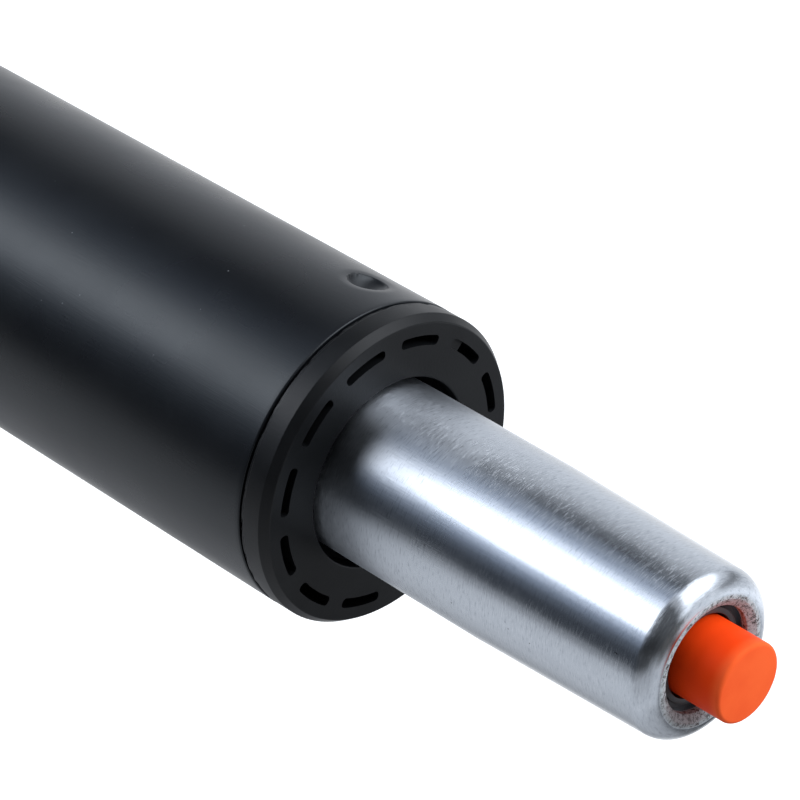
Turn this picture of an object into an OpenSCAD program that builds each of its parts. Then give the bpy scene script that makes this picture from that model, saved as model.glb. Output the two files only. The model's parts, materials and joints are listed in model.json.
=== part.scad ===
// Gas lift column of a swivel chair, shown in its lowest position.
// Millimetres, +Z up, origin at the centre of the column's bottom rim.

/* [Column tube] */
// Outside diameter of the column tube
column_d = 50; // [46:0.5:60]
// Wall of the column tube
column_wall = 2; // [1.5:0.1:2.5]
// Length of the column tube from its bottom rim to its top edge
column_len = 225; // [205:1:300]
// Length of the taper that wedges into the chair base
foot_taper_len = 70; // [50:1:90]
// Half angle of both wedging tapers in degrees
taper_half_angle = 1.4378; // [1.2:0.0001:1.6]
// Chamfer on the outer edges of the column tube
rim_chamfer = 0.4; // [0.2:0.1:0.8]

/* [Column dents] */
// Number of punched dents that hold the guide bush
dent_count = 2; // [2:1:6]
// Diameter of a dent at the tube's surface
dent_d = 6.4; // [5:0.1:8]
// Diameter of a dent's floor
dent_floor_d = 3.4; // [2:0.1:4.5]
// Depth of a dent
dent_depth = 1.2; // [0.6:0.1:1.5]
// Distance of the dents below the tube's top edge
dent_drop = 8.1; // [7:0.1:14]
// Turn of the first dent from +X in degrees
dent_turn = 27; // [0:1:179]
// Room around the dents in the bush groove
dent_gap = 0.3; // [0.2:0.05:0.6]

/* [Guide bush] */
// Height of the flange above the column tube
flange_h = 5.5; // [4:0.1:8]
// How far the flange stands inside the tube's surface
flange_inset = 0.05; // [0:0.01:0.5]
// Radial width of the flange chamfer
flange_chamfer_w = 0.95; // [0.4:0.05:1.5]
// Height of the flange chamfer
flange_chamfer_h = 1.4; // [0.4:0.1:3]
// Length of the sleeve inside the column tube
sleeve_len = 97; // [80:1:120]
// Radial gap between the sleeve and the column tube
sleeve_gap = 0.05; // [0.02:0.01:0.1]
// Radial room around the pressure tube at the mouth of the bush
mouth_w = 1.3; // [0.5:0.1:2]
// Depth of the wide part of the mouth
mouth_depth = 3; // [1:0.5:4]
// Length of the cone between the mouth and the bore
mouth_cone = 1.5; // [0.5:0.1:3]
// Number of moulding slots in the flange
slot_count = 12; // [6:1:14]
// Arc of one slot between its round ends' centres in degrees
slot_span = 17; // [8:0.5:19]
// Radial width of a slot
slot_w = 1.6; // [1:0.1:2]
// Plastic between the slots and the flange's edge
slot_wall = 2.95; // [2.6:0.05:4]
// Plastic left between a slot and the dent groove
slot_floor = 1.2; // [0.6:0.1:2]
// Number of the slot that holds a stiffening rib
rib_slot = 6; // [0:1:11]
// Depth of the rib below the flange face
rib_drop = 0.9; // [0.4:0.1:2]
// Number of core pockets in the sleeve
core_count = 12; // [6:1:14]
// Arc of one core pocket in degrees
core_span = 22; // [10:1:23]
// Walls of the sleeve on both sides of the core pockets
core_wall = 2.5; // [2:0.1:3]
// Plastic left above the core pockets
core_roof = 4; // [2:0.5:10]

/* [Pressure tube] */
// Outside diameter of the pressure tube
tube_d = 28; // [27:0.1:29]
// Wall of the pressure tube
tube_wall = 1.5; // [1.2:0.1:1.8]
// Radial running gap of the pressure tube in the bush
slide_gap = 0.05; // [0.03:0.01:0.1]
// Height of the tip above the flange in the lowest position
tip_reach = 63.3; // [56:0.1:80]
// Length of the taper that wedges into the seat plate
seat_taper_len = 35.3; // [30:0.1:45]
// Radius of the tip's rounded shoulder
shoulder_r = 2.7; // [1:0.1:3]
// Rise of the tip from its shoulder to its crest
tip_dome = 0.2; // [0.1:0.05:1]
// Thickness of the closed end around the mouth
tip_lip_t = 2.8; // [1.8:0.1:3.2]
// Diameter of the mouth in the tip
tip_mouth_d = 16.6; // [16:0.1:18]
// Radial width of the bevel round the mouth
tip_bevel_w = 1.4; // [0.4:0.1:1.8]
// Depth of the bevel round the mouth
tip_bevel_h = 0.6; // [0.2:0.1:1]
// Radial width of the rolled lip at the lower end
foot_lip_w = 5; // [4:0.1:6]
// Thickness of the rolled lip
foot_lip_t = 1.5; // [1:0.1:2.5]
// Outside rounding of the rolled lip
foot_lip_r = 1.5; // [0.5:0.1:2]
// Travel from the lowest to the highest position
stroke = 120; // [80:1:140]

/* [Inner tube] */
// Radial gas passage between the two tubes
bypass_gap = 1.3; // [1:0.1:1.6]
// Wall of the inner tube
inner_wall = 1; // [0.8:0.1:1.2]
// Number of gas ports near the lower end
port_count = 4; // [2:1:6]
// Diameter of a gas port
port_d = 2; // [1:0.1:3]
// Distance of the ports above the centring ring
port_rise = 3; // [2:0.5:8]

/* [Rod packing] */
// Thickness of the washer on the rolled lip
seal_washer_t = 2; // [1:0.1:3]
// Height of the rod seal
rod_seal_h = 6; // [4:0.5:8]
// Depth of the groove in the rod seal's face
rod_seal_groove = 2.5; // [1:0.1:3]
// Height of the rod guide below the inner tube
rod_guide_h = 12; // [8:0.5:16]
// Height of the rod guide's spigot inside the inner tube
guide_spigot_h = 4; // [2:0.5:6]
// Height of the centring ring
centring_h = 6; // [4:0.5:10]
// Number of gas notches in the centring ring
notch_count = 6; // [3:1:8]
// Width of a gas notch
notch_w = 3; // [1:0.1:4]
// Gap between pieces that are seated in each other
seat_gap = 0.05; // [0.02:0.01:0.08]
// Radial gap of pieces that slide or turn on each other
running_gap = 0.05; // [0.02:0.01:0.1]
// Radial gap of pieces that only pass each other
pass_gap = 0.3; // [0.2:0.05:0.5]

/* [Rod and piston] */
// Diameter of the piston rod
rod_d = 10; // [9:0.1:11]
// Diameter of the threaded stud at the rod's upper end
stud_d = 7; // [5:0.1:8]
// Length of the stud beyond the nut
stud_end = 1; // [0.5:0.1:3]
// Chamfer on the ends of the rod
rod_chamfer = 0.6; // [0.2:0.1:1]
// Height of the piston
piston_h = 10; // [8:0.5:14]
// Diameter of the washer below the piston
piston_washer_d = 16; // [13:0.5:18]
// Thickness of the washer below the piston
piston_washer_t = 1.2; // [0.8:0.1:2]
// Width of the piston nut across its flats
nut_flats = 12; // [11:0.5:14]
// Height of the piston nut
nut_h = 5; // [3:0.5:8]
// Thickness of the seal rings on the piston and the valve
ring_d = 2.2; // [1.8:0.1:2.4]

/* [Swivel bearing] */
// Height of the recess under the base plate
plate_recess = 9; // [8:0.5:14]
// Thickness of the base plate
plate_t = 4; // [3:0.5:6]
// Diameter of the rod's spigot through the bearing
spigot_d = 8; // [7:0.1:8.6]
// Outside diameter of the bearing washers
race_d = 26; // [25.5:0.5:30]
// Thickness of a bearing washer
race_t = 2; // [1.5:0.1:3]
// Diameter of a bearing ball
ball_d = 4; // [3:0.1:4.5]
// Number of bearing balls
ball_count = 10; // [6:1:10]
// Diameter of the circle through the balls' centres
ball_circle_d = 17.2; // [16:0.1:18]
// Depth of the ball groove in a bearing washer
race_groove = 0.6; // [0.3:0.1:0.8]
// Gap between a ball and its groove
ball_gap = 0.03; // [0.01:0.01:0.05]
// Thickness of the ball cage
cage_t = 1.6; // [1:0.1:1.8]
// Width of the cage beside the balls
cage_web = 1.2; // [0.8:0.1:1.6]
// Gap between a ball and its pocket in the cage
cage_gap = 0.15; // [0.1:0.05:0.2]

/* [Bumper] */
// Outside diameter of the rubber bumper
bumper_d = 25; // [22:0.5:27]
// Height of the rubber bumper
bumper_h = 16; // [10:0.5:24]
// Depth of the waist round the bumper
bumper_waist = 1.5; // [0.5:0.1:2.5]
// Thickness of the washer under the bumper
bumper_washer_t = 1.5; // [1:0.1:3]
// Gap left at both end stops
stop_gap = 0.3; // [0.2:0.05:0.5]

/* [Rod clip] */
// Diameter of the washer under the base plate
clip_washer_d = 18; // [16:0.5:22]
// Thickness of the washer under the base plate
clip_washer_t = 1; // [0.6:0.1:1.5]
// Diameter of the retaining clip
clip_d = 14; // [12:0.5:16]
// Thickness of the retaining clip
clip_t = 1.2; // [0.8:0.1:1.6]
// Width of the retaining clip's mouth
clip_mouth_w = 4.6; // [3.5:0.1:5]
// Diameter of the clip groove in the rod
clip_groove_d = 6; // [5:0.1:6.4]
// Play of the rod between the plate and its clip
end_play = 0.1; // [0.05:0.05:0.3]
// Height of the rod's lower end above the column rim
rod_end_rise = 3; // [2:0.5:4]

/* [Valve] */
// Height of the valve body above the inner tube
valve_h = 18; // [16:0.5:22]
// Length of the valve body inside the inner tube
valve_spigot_h = 8; // [7:0.5:10]
// Height of the gas passage round the foot of the valve body
valve_relief_h = 6; // [5:0.5:8]
// Distance of the valve body below the start of the tube's taper
valve_drop = 1; // [0.5:0.5:4]
// Diameter of the gas port in the valve body
valve_port_d = 1.6; // [1:0.1:2]
// Diameter of the valve pin
pin_d = 4; // [3.5:0.1:4.5]
// Diameter of the pin's neck
pin_neck_d = 2.8; // [2:0.1:3]
// Diameter of the pin's head
pin_head_d = 6; // [5.5:0.1:7]
// Height of the pin's head
pin_head_h = 2; // [1:0.1:2.5]
// Thickness of the seal rings on the pin
pin_ring_d = 1.8; // [1.4:0.1:2]

/* [Release button] */
// Diameter of the release button
button_d = 12.4; // [11:0.1:12.8]
// Height of the button above the tip
button_reach = 7.1; // [6:0.1:10]
// Length of the button inside the tip
button_inner_len = 10.6; // [8:0.1:14]
// Rounding of the button's top edge
button_round = 1; // [0.3:0.1:1.5]
// Depth of the pin's hole in the button
button_hole = 12; // [6:0.5:14]
// Radial gap between the button and its bush
button_gap = 0.35; // [0.2:0.05:0.45]
// Travel of the button
press_travel = 5; // [3:0.5:6]
// Wall of the bush's collar in the mouth
collar_wall = 0.9; // [0.6:0.1:1]
// Distance of the collar below the tip
collar_drop = 1.8; // [0.8:0.1:2.2]

/* [Hidden] */
$fn = 96;
arc_steps = 8;

// Column
taper = tan(taper_half_angle);
column_r = column_d / 2;
column_bore_r = column_r - column_wall;
face_z = column_len + flange_h;
dent_z = column_len - dent_drop;
dent_slope = (dent_d - dent_floor_d) / 2 / dent_depth;
dent_lead = column_wall / 2;
function column_out(z) = column_r - max(0, foot_taper_len - z) * taper;
function column_in(z) = column_out(z) - column_wall;

// Guide bush
tube_r = tube_d / 2;
bush_bore_r = tube_r + slide_gap;
sleeve_r = column_bore_r - sleeve_gap;
sleeve_z = column_len - sleeve_len;
flange_r = column_r - flange_inset;
groove_half = dent_d / 2 + dent_gap;
groove_r = column_bore_r - dent_depth - dent_gap;
slot_r = flange_r - slot_wall - slot_w / 2;
slot_depth = face_z - (dent_z + groove_half + slot_floor);
core_in_r = bush_bore_r + core_wall;
core_out_r = sleeve_r - core_wall;
core_top_z = dent_z - groove_half - core_roof;

// Swivel bearing, bottom to top
plate_top_z = plate_recess + plate_t;
spigot_r = spigot_d / 2;
ball_r = ball_d / 2;
ball_circle_r = ball_circle_d / 2;
race_face_z = plate_top_z + race_t;
ball_z = race_face_z - race_groove + ball_gap + ball_r;
upper_race_z = 2 * ball_z - race_face_z;
bumper_washer_z = upper_race_z + race_t;
bumper_z = bumper_washer_z + bumper_washer_t;
bumper_top_z = bumper_z + bumper_h;

// Clip under the base plate, top to bottom
clip_washer_z = plate_recess - end_play - clip_washer_t;
clip_z = clip_washer_z - clip_t;

// Pressure tube and the packing in its lower end, bottom to top
tip_z = face_z + tip_reach;
seat_z = tip_z - seat_taper_len;
tube_bore_r = tube_r - tube_wall;
tip_mouth_r = tip_mouth_d / 2;
shoulder_z = tip_z - tip_dome - shoulder_r;
lip_under_z = tip_z - tip_lip_t;
foot_z = bumper_top_z + stop_gap;
seal_washer_z = foot_z + foot_lip_t;
rod_seal_z = seal_washer_z + seal_washer_t;
rod_guide_z = rod_seal_z + rod_seal_h;
inner_z = rod_guide_z + rod_guide_h;
inner_out_r = tube_bore_r - bypass_gap;
inner_bore_r = inner_out_r - inner_wall;
packing_r = tube_bore_r - seat_gap;
function gas_out(z) = tube_r - max(0, z - seat_z) * taper;
function gas_in(z) = gas_out(z) - tube_wall;

// Rod and piston, bottom to top
rod_r = rod_d / 2;
stud_r = stud_d / 2;
piston_washer_z = inner_z + guide_spigot_h + stroke + stop_gap;
piston_z = piston_washer_z + piston_washer_t;
nut_z = piston_z + piston_h;
stud_top_z = nut_z + nut_h + stud_end;
piston_r = inner_bore_r - running_gap;
piston_ring_r = inner_bore_r - running_gap - ring_d / 2;

// Valve, from the top down
valve_top_z = seat_z - valve_drop;
valve_z = valve_top_z - valve_h;
valve_spigot_z = valve_z - valve_spigot_h;
valve_r = tube_bore_r - seat_gap;
valve_ring_r = tube_bore_r - seat_gap - ring_d / 2;
valve_ring_z = (valve_z + valve_relief_h + valve_top_z) / 2;
valve_spigot_r = inner_bore_r - seat_gap;
spigot_ring_r = inner_bore_r - seat_gap - ring_d / 2;
spigot_ring_z = valve_z - valve_spigot_h / 2;
pin_r = pin_d / 2;
pin_bore_r = pin_r + running_gap;
pin_ring_r = pin_r + running_gap + pin_ring_d / 2;
pin_ring_half = pin_ring_d / 2 + seat_gap;
valve_port_z = valve_z + valve_relief_h / 2;
pin_ring_zs = [valve_z - pin_ring_d, valve_z + valve_relief_h + pin_ring_d];
pin_neck_half = valve_relief_h / 2 + pin_ring_d / 2;
head_roof_z = valve_spigot_z + pin_head_h + pass_gap;
head_top_z = head_roof_z - seat_gap;

// Button and its bush
button_r = button_d / 2;
button_top_z = tip_z + button_reach;
button_z = tip_z - button_inner_len;
button_bore_r = button_r + button_gap;
button_bore_z = button_z - press_travel - stop_gap;
pin_top_z = button_z + button_hole - seat_gap;

// Points of an arc round a centre in a radius and height outline
function arc(centre, r, from, to) = [
    for (i = [0 : arc_steps])
        let (a = from + (to - from) * i / arc_steps)
        centre + r * [cos(a), sin(a)]
];

// Solid of revolution from an outline of radius and height
module turned(outline) {
    rotate_extrude() polygon(outline);
}

// Flat ring between two radii and two heights
module ring(r_in, r_out, z_low, z_high) {
    rotate_extrude()
        translate([r_in, z_low])
            square([r_out - r_in, z_high - z_low]);
}

// Seal ring of round section
module o_ring(r, z, section) {
    rotate_extrude()
        translate([r, z])
            circle(d = section);
}

// Children repeated evenly round the axis
module around(count, turn = 0) {
    for (i = [0 : count - 1])
        rotate(turn + i * 360 / count)
            children();
}

// Children laid with their Z axis pointing at the column's axis, from a given radius
module inward(r, z) {
    translate([r, 0, z])
        rotate([0, -90, 0])
            children();
}

// Curved slot with round ends, from its floor up past the flange face
module arc_slot(span_from, span_to, z_low, z_high) {
    h = z_high - z_low;
    translate([0, 0, z_low])
        rotate(span_from)
            rotate_extrude(angle = span_to - span_from)
                translate([slot_r - slot_w / 2, 0])
                    square([slot_w, h]);
    for (a = [span_from, span_to])
        rotate(a)
            translate([slot_r, 0, z_low])
                cylinder(d = slot_w, h = h);
}

module outer_tube() {
    color("#232529")
    difference() {
        union() {
            turned([
                [column_in(0), 0],
                [column_out(0) - rim_chamfer, 0],
                [column_out(rim_chamfer), rim_chamfer],
                [column_r, foot_taper_len],
                [column_r, column_len - rim_chamfer],
                [column_r - rim_chamfer, column_len],
                [column_bore_r, column_len],
                [column_bore_r, foot_taper_len]
            ]);
            around(dent_count, dent_turn)
                inward(column_r - dent_lead, dent_z) {
                    cylinder(d = dent_d, h = column_wall - dent_lead);
                    translate([0, 0, column_wall - dent_lead])
                        cylinder(d1 = dent_d, d2 = dent_floor_d, h = dent_depth);
                }
        }
        around(dent_count, dent_turn)
            inward(column_r + dent_lead, dent_z)
                cylinder(
                    d1 = dent_d + 2 * dent_slope * dent_lead,
                    d2 = dent_floor_d,
                    h = dent_lead + dent_depth
                );
    }
}

module base_plate() {
    color("#6d7076")
    turned([
        [spigot_r + running_gap, plate_recess],
        [column_in(plate_recess) - seat_gap, plate_recess],
        [column_in(plate_top_z) - seat_gap, plate_top_z],
        [spigot_r + running_gap, plate_top_z]
    ]);
}

module guide_bush() {
    color("#1b1c1e")
    difference() {
        turned([
            [bush_bore_r, sleeve_z],
            [sleeve_r, sleeve_z],
            [sleeve_r, dent_z - groove_half],
            [groove_r, dent_z - groove_half],
            [groove_r, dent_z + groove_half],
            [sleeve_r, dent_z + groove_half],
            [sleeve_r, column_len],
            [flange_r, column_len],
            [flange_r, face_z - flange_chamfer_h],
            [flange_r - flange_chamfer_w, face_z],
            [tube_r + mouth_w, face_z],
            [tube_r + mouth_w, face_z - mouth_depth],
            [bush_bore_r, face_z - mouth_depth - mouth_cone]
        ]);
        for (i = [0 : slot_count - 1])
            rotate(i * 360 / slot_count) {
                arc_slot(-slot_span / 2, slot_span / 2, face_z - rib_drop, face_z + rib_drop);
                arc_slot(
                    -slot_span / 2,
                    i == rib_slot ? 0 : slot_span / 2,
                    face_z - slot_depth,
                    face_z
                );
            }
        around(core_count)
            rotate(-core_span / 2)
                rotate_extrude(angle = core_span)
                    translate([core_in_r, sleeve_z - core_roof])
                        square([core_out_r - core_in_r, core_top_z - sleeve_z + core_roof]);
    }
}

module lower_race() {
    color("#8c9096")
    difference() {
        ring(spigot_r + pass_gap, race_d / 2, plate_top_z, race_face_z);
        o_ring(ball_circle_r, ball_z, ball_d + 2 * ball_gap);
    }
}

module upper_race() {
    color("#8c9096")
    difference() {
        ring(spigot_r + seat_gap, race_d / 2, upper_race_z, bumper_washer_z);
        o_ring(ball_circle_r, ball_z, ball_d + 2 * ball_gap);
    }
}

module ball_cage() {
    color("#d9d4c4")
    difference() {
        ring(
            ball_circle_r - ball_r - cage_web,
            ball_circle_r + ball_r + cage_web,
            ball_z - cage_t / 2,
            ball_z + cage_t / 2
        );
        around(ball_count)
            translate([ball_circle_r, 0, ball_z - cage_t])
                cylinder(r = ball_r + cage_gap, h = 2 * cage_t);
    }
}

module bearing_balls() {
    color("#b9bcc1")
    around(ball_count)
        translate([ball_circle_r, 0, ball_z])
            sphere(d = ball_d);
}

module bumper_washer() {
    color("#8c9096")
    ring(spigot_r + seat_gap, race_d / 2, bumper_washer_z, bumper_z);
}

module bumper() {
    color("#2a2a2a")
    turned([
        [rod_r + seat_gap, bumper_z],
        [bumper_d / 2, bumper_z],
        [bumper_d / 2, bumper_z + bumper_h / 4],
        [bumper_d / 2 - bumper_waist, bumper_z + bumper_h / 2],
        [bumper_d / 2, bumper_top_z - bumper_h / 4],
        [bumper_d / 2, bumper_top_z],
        [rod_r + seat_gap, bumper_top_z]
    ]);
}

module piston_rod() {
    color("#c3c6ca")
    turned([
        [0, rod_end_rise],
        [spigot_r - rod_chamfer, rod_end_rise],
        [spigot_r, rod_end_rise + rod_chamfer],
        [spigot_r, clip_z - seat_gap],
        [clip_groove_d / 2, clip_z - seat_gap],
        [clip_groove_d / 2, clip_washer_z],
        [spigot_r, clip_washer_z],
        [spigot_r, bumper_z],
        [rod_r, bumper_z],
        [rod_r, piston_washer_z],
        [stud_r, piston_washer_z],
        [stud_r, stud_top_z - rod_chamfer],
        [stud_r - rod_chamfer, stud_top_z],
        [0, stud_top_z]
    ]);
}

module clip_washer() {
    color("#9a9da2")
    ring(spigot_r + seat_gap, clip_washer_d / 2, clip_washer_z, clip_washer_z + clip_washer_t);
}

module retaining_clip() {
    color("#5b5d61")
    difference() {
        ring(clip_groove_d / 2 + seat_gap, clip_d / 2, clip_z, clip_washer_z);
        translate([0, -clip_mouth_w / 2, clip_z - clip_t])
            cube([clip_d, clip_mouth_w, 3 * clip_t]);
    }
}

module piston_washer() {
    color("#9a9da2")
    ring(stud_r + seat_gap, piston_washer_d / 2, piston_washer_z, piston_z);
}

module piston() {
    color("#b4b7bb")
    difference() {
        ring(stud_r + seat_gap, piston_r, piston_z, nut_z);
        ring(
            piston_ring_r - ring_d / 2 - seat_gap,
            inner_bore_r + ring_d,
            piston_z + piston_h / 2 - ring_d / 2 - seat_gap,
            piston_z + piston_h / 2 + ring_d / 2 + seat_gap
        );
    }
}

module piston_seal() {
    color("#202020")
    o_ring(piston_ring_r, piston_z + piston_h / 2, ring_d);
}

module piston_nut() {
    color("#8f9297")
    difference() {
        translate([0, 0, nut_z])
            cylinder(d = nut_flats / cos(30), h = nut_h, $fn = 6);
        translate([0, 0, nut_z - nut_h])
            cylinder(r = stud_r + seat_gap, h = 3 * nut_h);
    }
}

module pressure_tube() {
    tip_r = gas_out(shoulder_z);
    color("#c9cdd2")
    turned(concat(
        [[tube_r - foot_lip_w, foot_z]],
        arc([tube_r - foot_lip_r, foot_z + foot_lip_r], foot_lip_r, -90, 0),
        [[tube_r, seat_z]],
        arc([tip_r - shoulder_r, shoulder_z], shoulder_r, 0, 90),
        [
            [tip_mouth_r + tip_bevel_w, tip_z],
            [tip_mouth_r, tip_z - tip_bevel_h],
            [tip_mouth_r, lip_under_z],
            [gas_in(lip_under_z), lip_under_z],
            [tube_bore_r, seat_z],
            [tube_bore_r, seal_washer_z],
            [tube_r - foot_lip_w, seal_washer_z]
        ]
    ));
}

module inner_tube() {
    color("#aeb2b8")
    difference() {
        ring(inner_bore_r, inner_out_r, inner_z, valve_z);
        around(port_count)
            inward(inner_out_r + inner_wall, inner_z + centring_h + port_rise)
                cylinder(d = port_d, h = 3 * inner_wall);
    }
}

module seal_washer() {
    color("#9a9da2")
    ring(rod_r + pass_gap, packing_r, seal_washer_z, rod_seal_z);
}

module rod_seal() {
    seal_mid_r = (rod_r + packing_r) / 2;
    seal_groove_half = (packing_r - rod_r) / 8;
    color("#202020")
    turned([
        [rod_r + running_gap, rod_seal_z],
        [packing_r, rod_seal_z],
        [packing_r, rod_guide_z],
        [seal_mid_r + 2 * seal_groove_half, rod_guide_z],
        [seal_mid_r + seal_groove_half, rod_guide_z - rod_seal_groove],
        [seal_mid_r - seal_groove_half, rod_guide_z - rod_seal_groove],
        [seal_mid_r - 2 * seal_groove_half, rod_guide_z],
        [rod_r + running_gap, rod_guide_z]
    ]);
}

module rod_guide() {
    color("#d9d4c4")
    turned([
        [rod_r + running_gap, rod_guide_z],
        [packing_r, rod_guide_z],
        [packing_r, inner_z],
        [inner_bore_r - seat_gap, inner_z],
        [inner_bore_r - seat_gap, inner_z + guide_spigot_h],
        [rod_r + running_gap, inner_z + guide_spigot_h]
    ]);
}

module centring_ring() {
    color("#d9d4c4")
    difference() {
        ring(inner_out_r + seat_gap, packing_r, inner_z, inner_z + centring_h);
        around(notch_count)
            translate([packing_r - bypass_gap / 2, -notch_w / 2, inner_z - centring_h / 2])
                cube([bypass_gap, notch_w, 2 * centring_h]);
    }
}

module valve_body() {
    color("#b4b7bb")
    difference() {
        turned([
            [pin_bore_r, head_roof_z],
            [pin_head_d / 2 + pass_gap, head_roof_z],
            [pin_head_d / 2 + pass_gap, valve_spigot_z],
            [valve_spigot_r, valve_spigot_z],
            [valve_spigot_r, valve_z],
            [inner_out_r, valve_z],
            [inner_out_r, valve_z + valve_relief_h],
            [valve_r, valve_z + valve_relief_h],
            [valve_r, valve_top_z],
            [pin_bore_r, valve_top_z]
        ]);
        ring(
            valve_ring_r - ring_d / 2 - seat_gap,
            tube_r,
            valve_ring_z - ring_d / 2 - seat_gap,
            valve_ring_z + ring_d / 2 + seat_gap
        );
        ring(
            spigot_ring_r - ring_d / 2 - seat_gap,
            inner_out_r,
            spigot_ring_z - ring_d / 2 - seat_gap,
            spigot_ring_z + ring_d / 2 + seat_gap
        );
        for (z = pin_ring_zs)
            ring(
                pin_bore_r - pin_neck_d / 2,
                pin_ring_r + pin_ring_half,
                z - pin_ring_half,
                z + pin_ring_half
            );
        inward(tube_r, valve_port_z)
            cylinder(d = valve_port_d, h = tube_r);
    }
}

module valve_outer_seal() {
    color("#202020")
    o_ring(valve_ring_r, valve_ring_z, ring_d);
}

module valve_inner_seal() {
    color("#202020")
    o_ring(spigot_ring_r, spigot_ring_z, ring_d);
}

module pin_seals() {
    color("#202020")
    for (z = pin_ring_zs)
        o_ring(pin_ring_r, z, pin_ring_d);
}

module top_bush() {
    color("#3a3b3d")
    turned([
        [pin_r + pass_gap, valve_top_z],
        [tube_bore_r - seat_gap, valve_top_z],
        [tube_bore_r - seat_gap, seat_z],
        [gas_in(lip_under_z) - seat_gap, lip_under_z],
        [button_bore_r + collar_wall, lip_under_z],
        [button_bore_r + collar_wall, tip_z - collar_drop],
        [button_bore_r, tip_z - collar_drop],
        [button_bore_r, button_bore_z],
        [pin_r + pass_gap, button_bore_z]
    ]);
}

module valve_pin() {
    color("#c3c6ca")
    turned([
        [0, valve_spigot_z + pass_gap - seat_gap],
        [pin_head_d / 2, valve_spigot_z + pass_gap - seat_gap],
        [pin_head_d / 2, head_top_z],
        [pin_r, head_top_z],
        [pin_r, valve_port_z - pin_neck_half],
        [pin_neck_d / 2, valve_port_z - pin_neck_half],
        [pin_neck_d / 2, valve_port_z + pin_neck_half],
        [pin_r, valve_port_z + pin_neck_half],
        [pin_r, pin_top_z],
        [0, pin_top_z]
    ]);
}

module release_button() {
    color("#f2551c")
    turned(concat(
        [
            [pin_r + seat_gap, button_z],
            [button_r, button_z]
        ],
        arc([button_r - button_round, button_top_z - button_round], button_round, 0, 90),
        [
            [0, button_top_z],
            [0, button_z + button_hole],
            [pin_r + seat_gap, button_z + button_hole]
        ]
    ));
}

outer_tube();
base_plate();
guide_bush();
lower_race();
ball_cage();
bearing_balls();
upper_race();
bumper_washer();
bumper();
piston_rod();
clip_washer();
retaining_clip();
piston_washer();
piston();
piston_seal();
piston_nut();
pressure_tube();
inner_tube();
seal_washer();
rod_seal();
rod_guide();
centring_ring();
valve_body();
valve_outer_seal();
valve_inner_seal();
pin_seals();
top_bush();
valve_pin();
release_button();
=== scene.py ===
"""Looks of a chair gas lift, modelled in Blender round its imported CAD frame."""

import json
import logging
import math
from collections.abc import Callable, Sequence
from dataclasses import dataclass, replace
from enum import Enum
from typing import Protocol

import bmesh
import bpy
from mathutils import Matrix, Vector


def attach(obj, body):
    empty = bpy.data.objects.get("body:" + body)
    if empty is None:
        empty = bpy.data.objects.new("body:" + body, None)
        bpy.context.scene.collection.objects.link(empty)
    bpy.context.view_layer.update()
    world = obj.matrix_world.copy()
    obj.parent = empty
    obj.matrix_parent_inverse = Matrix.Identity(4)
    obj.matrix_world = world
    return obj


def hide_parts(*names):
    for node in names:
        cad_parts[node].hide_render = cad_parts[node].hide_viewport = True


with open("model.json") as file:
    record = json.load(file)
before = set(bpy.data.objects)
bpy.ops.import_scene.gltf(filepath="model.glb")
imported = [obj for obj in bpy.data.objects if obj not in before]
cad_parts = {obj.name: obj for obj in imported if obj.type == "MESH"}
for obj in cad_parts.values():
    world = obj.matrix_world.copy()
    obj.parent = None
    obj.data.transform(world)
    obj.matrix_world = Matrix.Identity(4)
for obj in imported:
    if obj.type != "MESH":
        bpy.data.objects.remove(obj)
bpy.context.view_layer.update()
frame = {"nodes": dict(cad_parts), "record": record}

LOG = logging.getLogger("gas_lift")

# Pieces and the camera are measured in millimetres; finishes, the floor and the lamps in metres.
MM = 0.001
# Slope of the tapers that wedge into the chair base and the seat plate.
TAPER = math.tan(math.radians(1.4378))
# Heights that differ by less are the same, in millimetres.
SAME = 0.01
# Points that are closer are merged, in metres.
MERGE_GAP = 0.000001
# Edges that turn by less are shaded smooth.
SMOOTH_ANGLE = math.radians(32.0)

# Most of a noise's values lie between these two.
NOISE_LOW = 0.25
NOISE_HIGH = 0.75
# Fine lines along the axis, per metre on X, Y and Z.
AXIAL_LINES = (9000.0, 9000.0, 250.0)
# What a fully cool card loses in red and gains in blue.
RED_LOSS = 0.16
BLUE_GAIN = 0.3

Colour = tuple[float, float, float]
Place = tuple[float, float, float]
Span = tuple[float, float]
Inputs = dict[str | int, object]
Socket = bpy.types.NodeSocket
Object = bpy.types.Object
MeshElement = bmesh.types.BMVert | bmesh.types.BMEdge | bmesh.types.BMFace


class Body(Enum):
    """The bodies that new pieces ride on."""

    COLUMN = "column"
    GAS_CYLINDER = "gas_cylinder"
    BUTTON = "button"


class Slot(Enum):
    """The record's material slots."""

    BLACK_PAINT = "black_paint"
    BLACK_PLASTIC = "black_plastic"
    PLATED_STEEL = "plated_steel"
    ORANGE_PLASTIC = "orange_plastic"
    DARK_PLASTIC = "dark_plastic"
    BARE_STEEL = "bare_steel"
    BRIGHT_STEEL = "bright_steel"
    SPRING_STEEL = "spring_steel"
    LIGHT_ALLOY = "light_alloy"
    NATURAL_PLASTIC = "natural_plastic"
    BLACK_RUBBER = "black_rubber"


class Element(Enum):
    """What a selection in edit mode is made of."""

    VERT = "verts"
    EDGE = "edges"
    FACE = "faces"


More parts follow.
